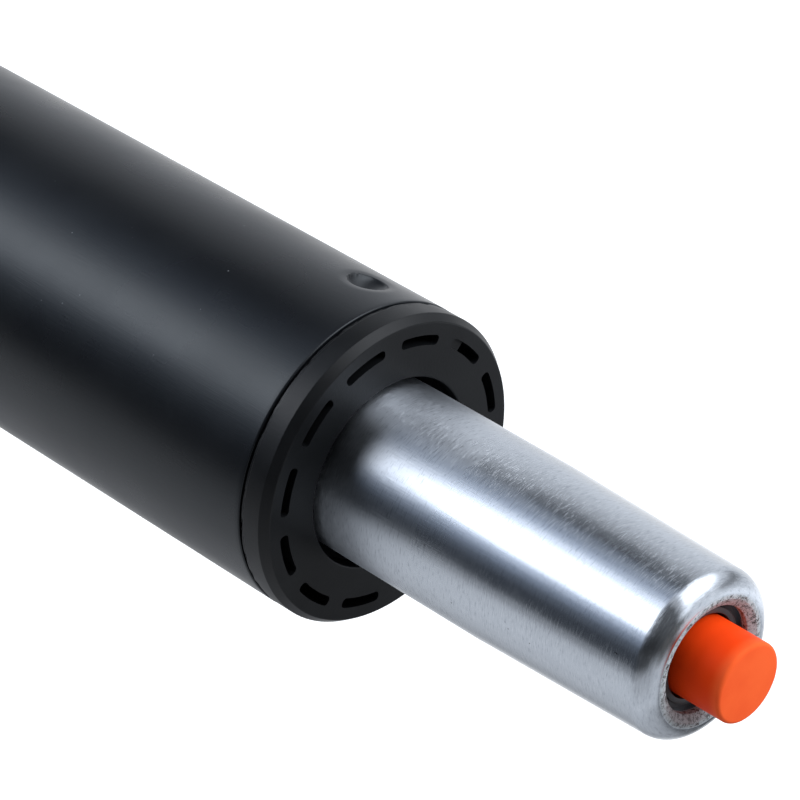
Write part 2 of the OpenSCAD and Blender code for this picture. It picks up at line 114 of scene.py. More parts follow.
class Bench:
    """Adds and joins the nodes of one material or world."""

    def __init__(self, tree: bpy.types.NodeTree) -> None:
        """Empties the tree and keeps it.

        Args:
            tree: The node tree to fill.
        """
        self.tree = tree
        self.tree.nodes.clear()

    def node(self, kind: str, sockets: Inputs | None = None, **settings: object) -> bpy.types.Node:
        """Adds one node.

        Args:
            kind: Blender's name of the node type.
            sockets: Values for its inputs; a socket is linked, anything else is set.
            **settings: Options of the node itself.

        Returns:
            The new node.
        """
        made = self.tree.nodes.new(kind)
        for name, value in settings.items():
            setattr(made, name, value)
        for name, value in (sockets or {}).items():
            if isinstance(value, Socket):
                self.tree.links.new(value, made.inputs[name])
            else:
                made.inputs[name].default_value = value
        return made

    def point(self, stretch: Place = (1.0, 1.0, 1.0)) -> Socket:
        """Gives the object's own coordinates, in metres.

        Args:
            stretch: Factors on X, Y and Z.

        Returns:
            The coordinate socket.
        """
        place = self.node("ShaderNodeTexCoord").outputs["Object"]
        return self.node("ShaderNodeMapping", {"Vector": place, "Scale": stretch}).outputs[0]

    def turned_point(self) -> Socket:
        """Gives the distance from the axis and the height as a vector, so that noise runs round the axis.

        Returns:
            The coordinate socket.
        """
        parts = self.node("ShaderNodeSeparateXYZ", {0: self.point()})
        return self.node("ShaderNodeCombineXYZ", {0: self.radius(), 2: parts.outputs[2]}).outputs[0]

    def radius(self) -> Socket:
        """Gives the distance from the lift's axis, in metres."""
        flat = self.point((1.0, 1.0, 0.0))
        return self.node("ShaderNodeVectorMath", {0: flat}, operation="LENGTH").outputs["Value"]

    def height(self) -> Socket:
        """Gives the height above the foot, in metres."""
        return self.node("ShaderNodeSeparateXYZ", {0: self.point()}).outputs[2]

    def noise(self, where: Socket, scale: float, detail: float = 3.0, rough: float = 0.55) -> Socket:
        """Gives cloudy noise from 0 to 1.

        Args:
            where: Coordinates.
            scale: Cells per metre.
            detail: Octaves.
            rough: Weight of the finer octaves.

        Returns:
            The value socket.
        """
        sockets = {"Vector": where, "Scale": scale, "Detail": detail, "Roughness": rough}
        return self.node("ShaderNodeTexNoise", sockets).outputs[0]

    def cells(self, where: Socket, scale: float) -> Socket:
        """Gives the distance to the nearest of scattered points, in cells.

        Args:
            where: Coordinates.
            scale: Points per metre.

        Returns:
            The distance socket.
        """
        return self.node("ShaderNodeTexVoronoi", {"Vector": where, "Scale": scale}).outputs["Distance"]

    def band(self, value: Socket, start: float, end: float, low: float = 0.0, high: float = 1.0) -> Socket:
        """Maps a value smoothly from one span to another, held at both ends.

        Args:
            value: What is mapped.
            start: Value that gives low.
            end: Value that gives high.
            low: Result at and beyond start.
            high: Result at and beyond end.

        Returns:
            The mapped value.
        """
        sockets = {"Value": value, "From Min": start, "From Max": end, "To Min": low, "To Max": high}
        return self.node("ShaderNodeMapRange", sockets, interpolation_type="SMOOTHSTEP").outputs[0]

    def spread(self, noise: Socket, mean: float, less: float, more: float) -> Socket:
        """Spreads a value by a noise, from less below its mean to more above it."""
        return self.band(noise, NOISE_LOW, NOISE_HIGH, mean - less, mean + more)

    def combine(self, operation: str, first: Socket | float, second: Socket | float) -> Socket:
        """Combines two values.

        Args:
            operation: Blender's name of the operation.
            first: Left value.
            second: Right value.

        Returns:
            The result.
        """
        return self.node("ShaderNodeMath", {0: first, 1: second}, operation=operation).outputs[0]

    def times(self, first: Socket | float, second: Socket | float) -> Socket:
        """Multiplies two values."""
        return self.combine("MULTIPLY", first, second)

    def plus(self, first: Socket | float, second: Socket | float) -> Socket:
        """Adds two values."""
        return self.combine("ADD", first, second)

    def mix(self, share: Socket, first: Colour | Socket, second: Colour | Socket) -> Socket:
        """Mixes two colours.

        Args:
            share: Share of the second colour.
            first: Colour where share is 0.
            second: Colour where share is 1.

        Returns:
            The mixed colour.
        """
        ends = [c if isinstance(c, Socket) else (*c, 1.0) for c in (first, second)]
        made = self.node("ShaderNodeMix", {0: share, 6: ends[0], 7: ends[1]}, data_type="RGBA")
        return made.outputs[2]

    def bump(self, relief: Socket, depth: float, under: Socket | None = None) -> Socket:
        """Turns a relief into a normal.

        Args:
            relief: Height from 0 to 1.
            depth: Height of 1, in metres.
            under: Normal of a coarser relief below it.

        Returns:
            The normal socket.
        """
        sockets: Inputs = {"Height": relief, "Distance": depth, "Strength": 1.0}
        if under is not None:
            sockets["Normal"] = under
        return self.node("ShaderNodeBump", sockets).outputs[0]

    def surface(self, sockets: Inputs) -> None:
        """Ends a material in one shader.

        Args:
            sockets: Values and links of the shader's inputs.
        """
        shader = self.node("ShaderNodeBsdfPrincipled", sockets)
        self.node("ShaderNodeOutputMaterial", {"Surface": shader.outputs[0]})


def new_material(name: str) -> tuple[bpy.types.Material, Bench]:
    """Starts a material.

    Args:
        name: Its name.

    Returns:
        The material and the bench that fills it.
    """
    made = bpy.data.materials.new(name)
    made.use_nodes = True
    return made, Bench(made.node_tree)


class Finish(Protocol):
    """Anything that can make a material."""

    def make(self) -> bpy.types.Material:
        """Makes the material."""


@dataclass(frozen=True)
class PaintFinish:
    """Satin black stove paint on the column tube.

    Attributes:
        name: Name of the material.
        colour: Colour of the paint.
        bloom: Colour of its paler clouds.
        dust: Colour of dust caught in the paint.
        glint: Tint of its reflections.
        roughness: Mean roughness.
        ior: Index of refraction.
        peel: Bumps of its orange peel per metre.
        peel_depth: Depth of the orange peel, in metres.
        drawn_depth: Depth of the tube's drawn lines under it, in metres.
    """

    name: str = "satin_black_paint"
    colour: Colour = (0.0036, 0.0041, 0.0052)
    bloom: Colour = (0.0052, 0.0059, 0.0074)
    dust: Colour = (0.10, 0.105, 0.11)
    glint: Colour = (0.91, 0.97, 1.0)
    roughness: float = 0.285
    ior: float = 1.44
    peel: float = 1100.0
    peel_depth: float = 0.000006
    drawn_depth: float = 0.00001

    def make(self) -> bpy.types.Material:
        """Makes the paint with its orange peel, clouds and dust."""
        made, bench = new_material(self.name)
        where = bench.point()
        peel = bench.noise(where, self.peel, 2.0)
        drawn = bench.noise(bench.point(AXIAL_LINES), 1.0, 1.0)
        cloud = bench.noise(where, 60.0, 4.0)
        fleck = bench.band(bench.cells(where, 520.0), 0.09, 0.04)
        rare = bench.band(bench.noise(where, 230.0, 1.0), 0.64, 0.70)
        base = bench.mix(cloud, self.colour, self.bloom)
        bench.surface({
            "Base Color": bench.mix(bench.times(fleck, rare), base, self.dust),
            "Roughness": bench.spread(cloud, self.roughness, 0.03, 0.04),
            "Normal": bench.bump(peel, self.peel_depth, bench.bump(drawn, self.drawn_depth)),
            "IOR": self.ior,
            "Specular Tint": (*self.glint, 1.0),
        })
        return made


@dataclass(frozen=True)
class PlatedFinish:
    """Satin zinc plating with brush marks round the tube, drawn scratches, a raw, pitted mouth and painted
    shade where it meets the flange.

    Attributes:
        name: Name of the material.
        colour: Colour of the plating.
        dull: Colour of its duller clouds.
        groove: Colour of the deeper brush marks.
        ridge: Colour of the burnished ridges between them.
        raw: Colour of the unplated mouth.
        pit: Colour of pits and stains.
        brush: Brush marks per metre on X, Y and Z.
        brush_depth: Depth of the brush marks, in metres.
        scratches: Drawn scratches per metre on X, Y and Z.
        worn: Roughness where the guide bush rubs.
        bright: Roughness at the tip.
        worn_groove: Strength of the deeper brush marks where it is worn.
        bright_groove: Their strength at the tip.
        worn_height: Height up to which it is worn, in metres.
        bright_height: Height from which it is bright, in metres.
        root_height: Height up to which the bush has rubbed it smooth and the painted shade next to the
            flange is full, in metres.
        smooth_fade: Length over which the smoothness ends above there, in metres.
        flange_shade_fade: Length over which the painted shade next to the flange fades out, in metres.
        flange_shade_strength: Strength of that painted shade.
        rub_depth: Depth of the lines that the bush rubs along it, in metres.
        mouth_radius: Radius inside which the tip is raw, in metres.
        mouth_height: Height above which it is, in metres.
        mouth_edge: Half the width over which the raw mouth begins, in metres.
        pits: Pits per metre in the mouth.
        pit_depth: Depth of the pits, in metres.
        anisotropy: How far the brush marks stretch its reflections.
    """

    name: str = "satin_zinc_plating"
    colour: Colour = (0.655, 0.695, 0.74)
    dull: Colour = (0.555, 0.59, 0.635)
    groove: Colour = (0.39, 0.42, 0.46)
    ridge: Colour = (0.84, 0.88, 0.92)
    raw: Colour = (0.43, 0.475, 0.49)
    pit: Colour = (0.07, 0.062, 0.06)
    brush: Place = (800.0, 800.0, 5400.0)
    brush_depth: float = 0.0000045
    scratches: Place = (1500.0, 1500.0, 28.0)
    worn: float = 0.305
    bright: float = 0.18
    worn_groove: float = 0.85
    bright_groove: float = 0.45
    worn_height: float = 0.236
    bright_height: float = 0.273
    root_height: float = 0.232
    smooth_fade: float = 0.010
    flange_shade_fade: float = 0.018
    flange_shade_strength: float = 0.55
    rub_depth: float = 0.000011
    mouth_radius: float = 0.0102
    mouth_height: float = 0.2925
    mouth_edge: float = 0.0002
    pits: float = 1500.0
    pit_depth: float = 0.00009
    anisotropy: float = 0.93

    def make(self) -> bpy.types.Material:
        """Makes the plating."""
        made, bench = new_material(self.name)
        where = bench.point()
        height = bench.height()
        cloud = bench.noise(where, 110.0, 4.0, 0.6)
        brush = bench.noise(bench.point(self.brush), 1.0, 2.0, 0.5)
        dense = bench.band(bench.noise(where, 75.0, 2.0), 0.30, 0.62, 0.5, 1.0)
        stroke = bench.times(bench.band(brush, 0.55, 0.64), dense)
        groove = bench.times(bench.band(brush, 0.42, 0.34), dense)
        scratch = bench.band(bench.noise(bench.point(self.scratches), 1.0, 1.0), 0.73, 0.78)
        fleck = bench.band(bench.cells(where, 640.0), 0.10, 0.04)
        rare = bench.band(bench.noise(where, 300.0, 1.0), 0.60, 0.68)
        edge = self.mouth_edge
        inside = bench.band(bench.radius(), self.mouth_radius + edge, self.mouth_radius - edge)
        over = bench.band(height, self.mouth_height - 2.0 * edge, self.mouth_height)
        mouth = bench.times(inside, over)
        pitting = bench.noise(where, self.pits, 6.0, 0.85)
        patch = bench.band(bench.noise(where, 420.0, 2.0), 0.35, 0.60, 0.55, 1.0)
        pits = bench.times(bench.times(mouth, patch), bench.band(pitting, 0.495, 0.55))
        stain = bench.combine("MAXIMUM", bench.times(fleck, rare), pits)

        strength = bench.band(
            height, self.worn_height, self.bright_height, self.worn_groove, self.bright_groove)
        # Painted shade: the tube is painted darker just above the flange, where the flange shades it, fading
        # out over a set length.
        painted_flange_shade = bench.band(height, self.root_height, self.root_height + self.flange_shade_fade, self.flange_shade_strength, 0.0)
        base = bench.mix(cloud, self.dull, self.colour)
        base = bench.mix(bench.times(groove, strength), base, self.groove)
        base = bench.mix(bench.times(stroke, 0.3), base, self.ridge)
        # Painted shade next to the flange, in the groove colour.
        base = bench.mix(painted_flange_shade, base, self.groove)
        base = bench.mix(mouth, base, self.raw)

        rough = bench.band(height, self.worn_height, self.bright_height, self.worn, self.bright)
        rough = bench.plus(rough, bench.spread(cloud, 0.0, 0.02, 0.02))
        rough = bench.plus(rough, bench.times(stroke, 0.06))
        rough = bench.plus(rough, bench.times(mouth, 0.5))

        lively = bench.band(height, self.root_height, self.root_height + self.smooth_fade)
        rub = bench.times(bench.band(height, self.worn_height, self.bright_height, 1.0, 0.0), lively)
        lines = bench.noise(bench.point(AXIAL_LINES), 1.0, 1.0)
        normal = bench.bump(bench.times(mouth, pitting), self.pit_depth)
        normal = bench.bump(bench.times(rub, lines), self.rub_depth, normal)
        marks = bench.plus(bench.times(brush, 0.7), bench.times(stroke, 0.35))
        marks = bench.combine("SUBTRACT", marks, bench.times(scratch, 0.8))
        normal = bench.bump(bench.times(marks, lively), self.brush_depth, normal)
        bench.surface({
            "Base Color": bench.mix(stain, base, self.pit),
            "Metallic": bench.combine("SUBTRACT", 1.0, bench.times(mouth, 0.97)),
            "Roughness": rough,
            "Normal": normal,
            "Specular IOR Level": 0.0,
            "Anisotropic": self.anisotropy,
            "Anisotropic Rotation": 0.25,
            "Tangent": bench.node("ShaderNodeTangent", direction_type="RADIAL", axis="Z").outputs[0],
        })
        return made


@dataclass(frozen=True)
class MouldedFinish:
    """Moulded plastic or rubber with its grain, flow clouds and scuffs, and a painted highlight over its top
    where one is set.

    Attributes:
        name: Name of the material.
        colour: Main colour.
        shade: Colour of its darker clouds.
        scuff_and_top_light: Colour of scuffed spots, and of the painted highlight on the top.
        roughness: Mean roughness.
        grain: Grains per metre.
        depth: Depth of the grain, in metres.
        scuffing: How far scuffs spread, from 0 to 1.
        gloss: Strength of its reflections; 0.5 is usual for plastic.
        top_light_foot: Height from which the top is painted paler as a highlight, in metres.
        top_light_fade: Length over which that painted highlight begins, in metres.
    """

    name: str
    colour: Colour
    shade: Colour
    scuff_and_top_light: Colour
    roughness: float
    grain: float = 2600.0
    depth: float = 0.000012
    scuffing: float = 0.3
    gloss: float = 0.5
    top_light_foot: float = 1.0
    top_light_fade: float = 0.0025

    def make(self) -> bpy.types.Material:
        """Makes the moulded surface."""
        made, bench = new_material(self.name)
        where = bench.point()
        cloud = bench.noise(where, 140.0, 3.0)
        grain = bench.noise(where, self.grain, 2.0, 0.6)
        start = 0.80 - 0.2 * self.scuffing
        worn = bench.band(bench.noise(where, 900.0, 5.0, 0.7), start, start + 0.12)
        # Painted highlight: above a set height the top face and the upper side by its rounded edge are
        # painted paler, in the scuff colour, as if lit from above; from here worn holds both the scuffs and
        # this painted highlight.
        painted_top_light = bench.band(bench.height(), self.top_light_foot, self.top_light_foot + self.top_light_fade, 0.0, 0.6)
        worn = bench.combine("MAXIMUM", worn, bench.times(painted_top_light, bench.band(cloud, 0.2, 0.8, 0.6, 1.0)))
        base = bench.mix(bench.band(cloud, 0.3, 0.7), self.shade, self.colour)
        rough = bench.spread(cloud, self.roughness, 0.04, 0.05)
        bench.surface({
            "Base Color": bench.mix(worn, base, self.scuff_and_top_light),
            "Roughness": bench.plus(rough, bench.times(worn, 0.12)),
            "Normal": bench.bump(grain, self.depth),
            "Specular IOR Level": self.gloss,
        })
        return made


@dataclass(frozen=True)
class MachinedFinish:
    """Turned, ground or drawn metal with tool lines round the axis.

    Attributes:
        name: Name of the material.
        colour: Colour of the metal.
        film: Colour under its oil or oxide film.
        roughness: Mean roughness.
        lines: Tool lines per metre.
        depth: Depth of the tool lines, in metres.
    """

    name: str
    colour: Colour
    film: Colour
    roughness: float
    lines: float = 5200.0
    depth: float = 0.000006

    def make(self) -> bpy.types.Material:
        """Makes the machined surface."""
        made, bench = new_material(self.name)
        lines = bench.noise(bench.turned_point(), self.lines, 3.0, 0.6)
        cloud = bench.noise(bench.point(), 220.0, 4.0, 0.6)
        bench.surface({
            "Base Color": bench.mix(bench.band(cloud, 0.30, 0.72), self.film, self.colour),
            "Metallic": 1.0,
            "Roughness": bench.spread(lines, self.roughness, 0.05, 0.08),
            "Normal": bench.bump(lines, self.depth),
        })
        return made


FINISHES: dict[Slot, Finish] = {
    Slot.BLACK_PAINT: PaintFinish(),
    Slot.PLATED_STEEL: PlatedFinish(),
    Slot.BLACK_PLASTIC: MouldedFinish(
        "moulded_black_nylon", (0.0046, 0.0051, 0.0057), (0.0036, 0.0040, 0.0045), (0.028, 0.029, 0.031),
        roughness=0.38, gloss=0.25),
    # The button's top gets a painted highlight from the given height up.
    Slot.ORANGE_PLASTIC: MouldedFinish(
        "moulded_orange_plastic", (0.77, 0.052, 0.0045), (0.72, 0.044, 0.004), (0.92, 0.165, 0.045),
        roughness=0.46, grain=1900.0, depth=0.000008, scuffing=0.2, gloss=0.05, top_light_foot=0.2984),
    Slot.DARK_PLASTIC: MouldedFinish(
        "moulded_dark_plastic", (0.055, 0.057, 0.06), (0.04, 0.042, 0.045), (0.12, 0.12, 0.125),
        roughness=0.42),
    Slot.NATURAL_PLASTIC: MouldedFinish(
        "natural_acetal", (0.72, 0.68, 0.58), (0.66, 0.61, 0.50), (0.60, 0.55, 0.45),
        roughness=0.38),
    Slot.BLACK_RUBBER: MouldedFinish(
        "black_nitrile_rubber", (0.020, 0.020, 0.020), (0.014, 0.014, 0.014), (0.05, 0.05, 0.05),
        roughness=0.62, grain=1800.0, depth=0.00002, scuffing=0.5),
    Slot.BARE_STEEL: MachinedFinish(
        "oiled_bare_steel", (0.46, 0.47, 0.49), (0.33, 0.33, 0.34), roughness=0.32),
    Slot.BRIGHT_STEEL: MachinedFinish(
        "ground_hard_chrome", (0.68, 0.69, 0.71), (0.60, 0.61, 0.63),
        roughness=0.13, lines=9000.0, depth=0.0000015),
    Slot.SPRING_STEEL: MachinedFinish(
        "phosphated_spring_steel", (0.14, 0.14, 0.15), (0.09, 0.09, 0.095), roughness=0.45),
    Slot.LIGHT_ALLOY: MachinedFinish(
        "turned_light_alloy", (0.70, 0.71, 0.72), (0.60, 0.61, 0.62),
        roughness=0.28, lines=3600.0, depth=0.000012),
}


class Rack:
    """Keeps each slot's material, made once."""

    def __init__(self) -> None:
        """Starts with no material made."""
        self.made: dict[Slot, bpy.types.Material] = {}

    def material(self, slot: Slot) -> bpy.types.Material:
        """Gives a slot's material.

        Args:
            slot: The record's slot.

        Returns:
            The material, made at its first use.
        """
        if slot not in self.made:
            self.made[slot] = FINISHES[slot].make()
        return self.made[slot]

    def dress(self, piece: Object, slot: Slot) -> None:
        """Gives a piece its only material.

        Args:
            piece: The mesh object.
            slot: The record's slot.
        """
        piece.data.materials.clear()
        piece.data.materials.append(self.material(slot))


@dataclass(frozen=True)
class Corner:
    """One corner of a turned outline, in millimetres.

    Attributes:
        r: Distance from the axis.
        z: Height above the foot.
        fillet: Radius of its rounding.
        steps: Edges in the rounding.
    """

    r: float
    z: float
    fillet: float = 0.0
    steps: int = 6


def rounded(corners: Sequence[Corner], closed: bool) -> list[Vector]:
    """Rounds the corners of an outline.

    Args:
        corners: The corners in order.
        closed: Whether the last corner joins the first.

    Returns:
        The outline's points, as radius and height in millimetres.
    """
    points: list[Vector] = []
    last = len(corners) - 1
    for i, corner in enumerate(corners):
        here = Vector((corner.r, corner.z))
        if corner.fillet == 0.0 or (not closed and i in (0, last)):
            points.append(here)
            continue
        before, after = corners[i - 1], corners[(i + 1) % len(corners)]
        back = (Vector((before.r, before.z)) - here).normalized()
        ahead = (Vector((after.r, after.z)) - here).normalized()
        half = back.angle(ahead) / 2
        centre = here + (back + ahead).normalized() * (corner.fillet / math.sin(half))
        first = here + back * (corner.fillet / math.tan(half)) - centre
        second = here + ahead * (corner.fillet / math.tan(half)) - centre
        for k in range(corner.steps + 1):
            points.append(centre + first.slerp(second, k / corner.steps) * corner.fillet)
    return points


def pick(piece: Object, kind: Element, test: Callable[[MeshElement, Vector], bool]) -> None:
    """Selects elements of a mesh in edit mode by their place.

    Args:
        piece: The object in edit mode.
        kind: What is selected.
        test: Says yes to an element and its middle, in millimetres.
    """
    bpy.ops.mesh.select_mode(type=kind.name)
    bpy.ops.mesh.select_all(action="DESELECT")
    mesh = bmesh.from_edit_mesh(piece.data)
    for element in getattr(mesh, kind.value):
        corners = [element] if kind is Element.VERT else element.verts
        middle = sum((v.co for v in corners), Vector()) / len(corners) / MM
        if test(element, middle):
            element.select = True
    mesh.select_flush_mode()
    bmesh.update_edit_mesh(piece.data)


def extrude(rise: float) -> None:
    """Extrudes what is selected upwards by a length in millimetres."""
    bpy.ops.mesh.extrude_region_move(TRANSFORM_OT_translate={"value": (0.0, 0.0, rise * MM)})


def bearing_of(place: Vector) -> float:
    """Gives a place's turn round the axis from +X, in degrees."""
    return math.degrees(math.atan2(place.y, place.x))


def off_pitch(place: Vector, count: int) -> float:
    """Gives how far a place is turned from the nearest of evenly spaced marks, in degrees.

    Args:
        place: The place.
        count: Number of marks round the axis, the first at +X.

    Returns:
        The turn, positive to the left.
    """
    pitch = 360.0 / count
    return (bearing_of(place) + pitch / 2) % pitch - pitch / 2


@dataclass
class Turning:
    """A turned piece: its half outline and how finely it is spun.

    Attributes:
        name: Name of the piece.
        corners: Corners of the half outline.
        steps: Faces round the axis.
        turn: Turn of the first edge from +X, in degrees.
        closed: Whether the outline closes on itself; if not, it starts and ends on the axis.
    """

    name: str
    corners: list[Corner]
    steps: int = 192
    turn: float = 0.0
    closed: bool = True

    def spin(self) -> Object:
        """Draws the outline point by point and spins it.

        Returns:
            The mesh object, at the origin and in object mode.
        """
        bpy.ops.object.select_all(action="DESELECT")
        bpy.ops.mesh.primitive_plane_add(size=MM)
        piece = bpy.context.object
        piece.name = self.name
        piece.data.name = self.name
        bpy.ops.object.mode_set(mode="EDIT")
        bpy.ops.mesh.select_mode(type="VERT")
        bpy.ops.mesh.select_all(action="SELECT")
        bpy.ops.mesh.merge(type="CENTER")
        turn = Matrix.Rotation(math.radians(self.turn), 3, "Z")
        points = [turn @ Vector((p.x, 0.0, p.y)) * MM for p in rounded(self.corners, self.closed)]
        bpy.ops.transform.translate(value=points[0])
        for here, ahead in zip(points, points[1:]):
            bpy.ops.mesh.extrude_region_move(TRANSFORM_OT_translate={"value": ahead - here})
        if self.closed:
            pick(piece, Element.VERT, lambda vert, _: len(vert.link_edges) == 1)
            bpy.ops.mesh.edge_face_add()
        bpy.ops.mesh.select_all(action="SELECT")
        bpy.ops.mesh.spin(
            steps=self.steps, angle=math.tau, center=(0, 0, 0), axis=(0, 0, 1), use_auto_merge=True)
        bpy.ops.mesh.select_all(action="SELECT")
        bpy.ops.mesh.remove_doubles(threshold=MERGE_GAP)
        bpy.ops.mesh.normals_make_consistent(inside=False)
        bpy.ops.object.mode_set(mode="OBJECT")
        return piece


def settle(piece: Object, body: Body, slot: Slot, rack: Rack, *nodes: str) -> None:
    """Shades, dresses and mounts a finished piece.

    Args:
        piece: The mesh object.
        body: The body that it rides on.
        slot: The slot of its finish.
        rack: The materials.
        *nodes: CAD nodes that it stands for.
    """
    bpy.ops.object.select_all(action="DESELECT")
    piece.select_set(True)
    bpy.context.view_layer.objects.active = piece
    bpy.ops.object.shade_smooth_by_angle(angle=SMOOTH_ANGLE)
    bpy.ops.object.modifier_add(type="WEIGHTED_NORMAL")
    piece.modifiers[-1].keep_sharp = True
    bpy.ops.object.modifier_apply(modifier=piece.modifiers[-1].name)
    rack.dress(piece, slot)
    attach(piece, body.value)
    if nodes:
        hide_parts(*nodes)
    LOG.info("%s: %d faces, rides on %s", piece.name, len(piece.data.polygons), body.value)


@dataclass
class Column:
    """The painted column tube with its punched dents and the weld of its base plate.

    Attributes:
        radius: Outside radius of the straight part.
        wall: Wall of the tube.
        length: Height of the tube.
        foot_taper: Length of the tapered foot.
        bend: Half the length of the bend above the taper.
        rows_from: Height of the lowest of the edge rows, 1 mm apart, that the dents need.
        dent_height: Height of the dents' middles.
        dent_turns: Turns of the dents from +X, in degrees.
        dish_radius: Radius of the shallow dish that each dent draws round it.
        dish_depth: Depth of that dish.
        dish_margin: Width of the finer mesh round it.
        dent_radius: Radius of a dent's bowl.
        dent_depth: Depth of that bowl below the dish.
        dent_lean: How far its bottom leans round the tube.
        plate_height: Height of the base plate's underside.
    """

    radius: float = 25.0
    wall: float = 2.0
    length: float = 225.0
    foot_taper: float = 70.0
    bend: float = 2.0
    rows_from: int = 206
    dent_height: float = 216.9
    dent_turns: tuple[float, ...] = (27.0, 207.0)
    dish_radius: float = 4.7
    dish_depth: float = 0.7
    dish_margin: float = 0.6
    dent_radius: float = 3.1
    dent_depth: float = 1.25
    dent_lean: float = 0.95
    plate_height: float = 9.0

    def outside(self, height: float) -> float:
        """Gives the outside radius at a height, in millimetres."""
        return self.radius - max(0.0, self.foot_taper - height) * TAPER

    def tube(self) -> Object:
        """Turns the tube and punches its dents.

        Returns:
            The tube's shell.
        """
        bore = self.radius - self.wall
        bend_foot = self.foot_taper - self.bend
        rows = [Corner(self.radius, float(z)) for z in range(self.rows_from, int(self.length))]
        shell = Turning("column_tube", [
            Corner(self.outside(0.0) - self.wall, 0.0, 0.25, 3),
            Corner(self.outside(0.0), 0.0, 0.5),
            Corner(self.outside(bend_foot), bend_foot),
            Corner(self.radius, self.foot_taper + self.bend),
            *rows,
            Corner(self.radius, self.length, 0.25, 4),
            Corner(bore, self.length),
            Corner(bore, self.foot_taper),
        ], steps=384).spin()
        bpy.ops.object.mode_set(mode="EDIT")
        for turn in self.dent_turns:
            self.punch(shell, turn)
        bpy.ops.object.mode_set(mode="OBJECT")
        return shell

    def punch(self, shell: Object, turn: float) -> None:
        """Presses one dent into the tube: a shallow dish, then a bowl in its middle.

        Args:
            shell: The tube in edit mode.
            turn: Turn of the dent from +X, in degrees.
        """
        out = Matrix.Rotation(math.radians(turn), 3, "Z") @ Vector((1.0, 0.0, 0.0))
        middle = out * self.radius + Vector((0.0, 0.0, self.dent_height))
        near = self.dish_radius + self.dish_margin
        skin = self.radius - self.wall / 4
        pick(shell, Element.FACE, lambda _, c: (c - middle).length < near and c.xy.length > skin)
        bpy.ops.mesh.subdivide(number_cuts=3, smoothness=1.0)
        along = Vector((0.0, 0.0, 1.0)).cross(out)
        level = Vector((0.0, 0.0, self.dent_height * MM))
        bore = (self.radius - self.wall + SAME) * MM

        def off_line(vert: MeshElement) -> float:
            """Gives how far a vertex outside the bore is from the dent's middle line, in metres."""
            reach = vert.co.dot(out)
            return (vert.co - out * reach - level).length if reach > bore else math.inf

        dish = (self.dish_radius, self.dish_depth, 0.0, "SMOOTH")
        bowl = (self.dent_radius, self.dent_depth, self.dent_lean, "ROOT")
        for size, depth, lean, falloff in (dish, bowl):
            centre = min(bmesh.from_edit_mesh(shell.data).verts, key=off_line).index
            pick(shell, Element.VERT, lambda v, _: v.index == centre)
            push = (along * lean - out * depth) * MM
            bpy.ops.transform.translate(
                value=push, use_proportional_edit=True, proportional_edit_falloff=falloff,
                proportional_size=size * MM)

    def weld(self) -> Object:
        """Turns the weld bead between the base plate and the tube, and roughens it.

        Returns:
            The weld bead.
        """
        wall = self.outside(self.plate_height) - self.wall
        bead = Turning("plate_weld", [
            Corner(wall - 1.7, self.plate_height - 0.02),
            Corner(wall - 1.2, self.plate_height - 0.75, 0.5, 4),
            Corner(wall - 0.45, self.plate_height - 1.5, 0.5, 4),
            Corner(wall - 0.02, self.plate_height - 1.9),
            Corner(wall - 0.02, self.plate_height - 0.02),
        ], steps=180).spin()
        bpy.ops.object.mode_set(mode="EDIT")
        pick(bead, Element.VERT, lambda _, c: c.z < self.plate_height - 0.4 and c.xy.length < wall - 0.2)
        bpy.ops.transform.vertex_random(offset=0.09 * MM, uniform=0.3, normal=0.8, seed=7)
        bpy.ops.object.mode_set(mode="OBJECT")
        return bead

    def build(self, rack: Rack) -> None:
        """Builds and mounts the column's pieces.

        Args:
            rack: The materials.
        """
        settle(self.tube(), Body.COLUMN, Slot.BLACK_PAINT, rack, "outer_tube")
        settle(self.weld(), Body.COLUMN, Slot.BARE_STEEL, rack)


